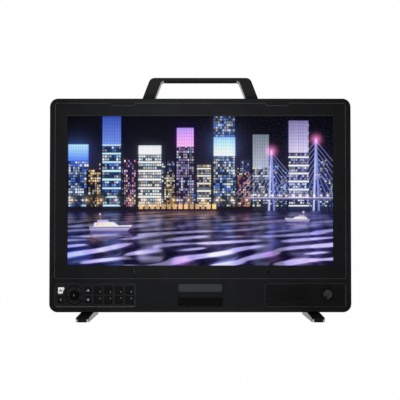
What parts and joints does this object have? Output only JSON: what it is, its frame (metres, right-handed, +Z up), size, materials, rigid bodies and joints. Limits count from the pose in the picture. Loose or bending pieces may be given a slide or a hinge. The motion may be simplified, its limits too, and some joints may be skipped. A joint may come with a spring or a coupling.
{
  "type": "production monitor",
  "caption": "Field production monitor with a lit display, a carrying handle, a keypad with a four-way ring, a control knob and swivel feet.",
  "frame": {"origin": "on the floor plane under the middle of the whole object", "axes": "+X to the viewer's right along the screen, +Y from the screen to the back, +Z up"},
  "size_m": [0.4334, 0.142, 0.3505],
  "materials": {
    "case_paint": "fine satin black powder coat",
    "bezel_paint": "satin black",
    "handle_paint": "satin black",
    "foot_paint": "satin black",
    "housing_paint": "fine satin black powder coat",
    "panel_plastic": "satin black moulding",
    "key_plastic": "satin black",
    "home_plastic": "lit white",
    "ring_plastic": "satin dark grey",
    "knob_plastic": "gloss black",
    "tally_plastic": "smoked grey",
    "badge_plastic": "gloss black",
    "screw_steel": "blackened",
    "pivot_steel": "plain",
    "cover_glass": "clear, low glare",
    "lcd_glass": "dark display",
    "diffuser_white": "white",
    "board_green": "circuit board",
    "tray_metal": "plain sheet",
    "silicone": "moulded",
    "fan_plastic": "moulded black",
    "socket_metal": "nickel plate",
    "socket_plastic": "black",
    "insert_brass": "plain",
    "pad_rubber": "moulded",
    "cable_plastic": "flat cable"
  },
  "bodies": {
    "chassis": {"front_frame": "case_paint", "display_bezel": "bezel_paint", "bezel_screws": "screw_steel", "front_glass": "cover_glass", "lcd_panel": "lcd_glass", "diffuser_sheet": "diffuser_white", "backlight_board": "board_green", "panel_tray": "tray_metal", "tray_screws": "pivot_steel", "keypad_plate": "panel_plastic", "keypad_membrane": "silicone", "keypad_board": "board_green", "board_screws": "pivot_steel", "tally_lens": "tally_plastic", "tally_board": "board_green", "badge_plate": "badge_plastic", "control_panel": "panel_plastic", "speaker": "fan_plastic", "encoder_body": "socket_metal", "rear_housing": "housing_paint", "housing_screws": "screw_steel", "vent_grilles": "fan_plastic", "fan_frames": "fan_plastic", "heatsink": "tray_metal", "main_board": "board_green", "power_board": "board_green", "display_cable": "cable_plastic", "io_plate": "panel_plastic", "io_board": "board_green", "bnc_jacks": "socket_metal", "hdmi_socket": "socket_metal", "network_socket": "socket_metal", "power_inlet": "socket_plastic", "vesa_inserts": "insert_brass", "handle": "handle_paint", "handle_screws": "screw_steel", "foot_pivots": "pivot_steel"},
    "home_button": {"home_button": "home_plastic"},
    "back_button": {"back_button": "key_plastic"},
    "page_up_button": {"page_up_button": "key_plastic"},
    "page_down_button": {"page_down_button": "key_plastic"},
    "function_button_1": {"function_button_1": "key_plastic"},
    "function_button_2": {"function_button_2": "key_plastic"},
    "function_button_3": {"function_button_3": "key_plastic"},
    "function_button_4": {"function_button_4": "key_plastic"},
    "function_button_5": {"function_button_5": "key_plastic"},
    "function_button_6": {"function_button_6": "key_plastic"},
    "function_button_7": {"function_button_7": "key_plastic"},
    "function_button_8": {"function_button_8": "key_plastic"},
    "nav_collar": {"nav_collar": "silicone"},
    "nav_ring": {"nav_ring": "ring_plastic"},
    "select_button": {"select_button": "key_plastic"},
    "control_knob": {"control_knob": "knob_plastic", "encoder_shaft": "pivot_steel"},
    "fan_rotor_left": {"fan_rotor_left": "fan_plastic"},
    "fan_rotor_right": {"fan_rotor_right": "fan_plastic"},
    "left_foot": {"left_foot": "foot_paint", "left_foot_pads": "pad_rubber"},
    "right_foot": {"right_foot": "foot_paint", "right_foot_pads": "pad_rubber"}
  },
  "joints": [
    {"name": "home_button_press", "type": "slide", "parent": "chassis", "child": "home_button", "axis": [0, 1, 0], "range_m": [0, 0.0008], "stiffness_N_per_m": 1500, "springref_m": -0.0004},
    {"name": "back_button_press", "type": "slide", "parent": "chassis", "child": "back_button", "axis": [0, 1, 0], "range_m": [0, 0.0008], "stiffness_N_per_m": 1500, "springref_m": -0.0004},
    {"name": "page_up_button_press", "type": "slide", "parent": "chassis", "child": "page_up_button", "axis": [0, 1, 0], "range_m": [0, 0.0008], "stiffness_N_per_m": 1500, "springref_m": -0.0004},
    {"name": "page_down_button_press", "type": "slide", "parent": "chassis", "child": "page_down_button", "axis": [0, 1, 0], "range_m": [0, 0.0008], "stiffness_N_per_m": 1500, "springref_m": -0.0004},
    {"name": "function_button_1_press", "type": "slide", "parent": "chassis", "child": "function_button_1", "axis": [0, 1, 0], "range_m": [0, 0.0008], "stiffness_N_per_m": 1500, "springref_m": -0.0004},
    {"name": "function_button_2_press", "type": "slide", "parent": "chassis", "child": "function_button_2", "axis": [0, 1, 0], "range_m": [0, 0.0008], "stiffness_N_per_m": 1500, "springref_m": -0.0004},
    {"name": "function_button_3_press", "type": "slide", "parent": "chassis", "child": "function_button_3", "axis": [0, 1, 0], "range_m": [0, 0.0008], "stiffness_N_per_m": 1500, "springref_m": -0.0004},
    {"name": "function_button_4_press", "type": "slide", "parent": "chassis", "child": "function_button_4", "axis": [0, 1, 0], "range_m": [0, 0.0008], "stiffness_N_per_m": 1500, "springref_m": -0.0004},
    {"name": "function_button_5_press", "type": "slide", "parent": "chassis", "child": "function_button_5", "axis": [0, 1, 0], "range_m": [0, 0.0008], "stiffness_N_per_m": 1500, "springref_m": -0.0004},
    {"name": "function_button_6_press", "type": "slide", "parent": "chassis", "child": "function_button_6", "axis": [0, 1, 0], "range_m": [0, 0.0008], "stiffness_N_per_m": 1500, "springref_m": -0.0004},
    {"name": "function_button_7_press", "type": "slide", "parent": "chassis", "child": "function_button_7", "axis": [0, 1, 0], "range_m": [0, 0.0008], "stiffness_N_per_m": 1500, "springref_m": -0.0004},
    {"name": "function_button_8_press", "type": "slide", "parent": "chassis", "child": "function_button_8", "axis": [0, 1, 0], "range_m": [0, 0.0008], "stiffness_N_per_m": 1500, "springref_m": -0.0004},
    {"name": "select_button_press", "type": "slide", "parent": "chassis", "child": "select_button", "axis": [0, 1, 0], "range_m": [0, 0.0006], "stiffness_N_per_m": 1500, "springref_m": -0.0004},
    {"name": "nav_tilt_up_down", "type": "hinge", "parent": "chassis", "child": "nav_collar", "pos_m": [-0.1805, -0.01335, 0.0343], "axis": [1, 0, 0], "range_deg": [-2.5, 2.5], "stiffness_Nm_per_rad": 0.25},
    {"name": "nav_tilt_left_right", "type": "hinge", "parent": "nav_collar", "child": "nav_ring", "pos_m": [-0.1805, -0.01585, 0.0343], "axis": [0, 0, 1], "range_deg": [-2.5, 2.5], "stiffness_Nm_per_rad": 0.25},
    {"name": "control_knob_turn", "type": "hinge", "parent": "chassis", "child": "control_knob", "pos_m": [0.1827, -0.0196, 0.0356], "axis": [0, 1, 0], "continuous": true},
    {"name": "fan_left_spin", "type": "hinge", "parent": "chassis", "child": "fan_rotor_left", "pos_m": [-0.118, 0.0565, 0.22425], "axis": [0, 1, 0], "continuous": true},
    {"name": "fan_right_spin", "type": "hinge", "parent": "chassis", "child": "fan_rotor_right", "pos_m": [0.118, 0.0565, 0.22425], "axis": [0, 1, 0], "continuous": true},
    {"name": "left_foot_swivel", "type": "hinge", "parent": "chassis", "child": "left_foot", "pos_m": [-0.1635, 0.014, 0.0094], "axis": [0, 0, 1], "range_deg": [0, 90]},
    {"name": "right_foot_swivel", "type": "hinge", "parent": "chassis", "child": "right_foot", "pos_m": [0.1635, 0.014, 0.0094], "axis": [0, 0, -1], "range_deg": [0, 90]}
  ]
}
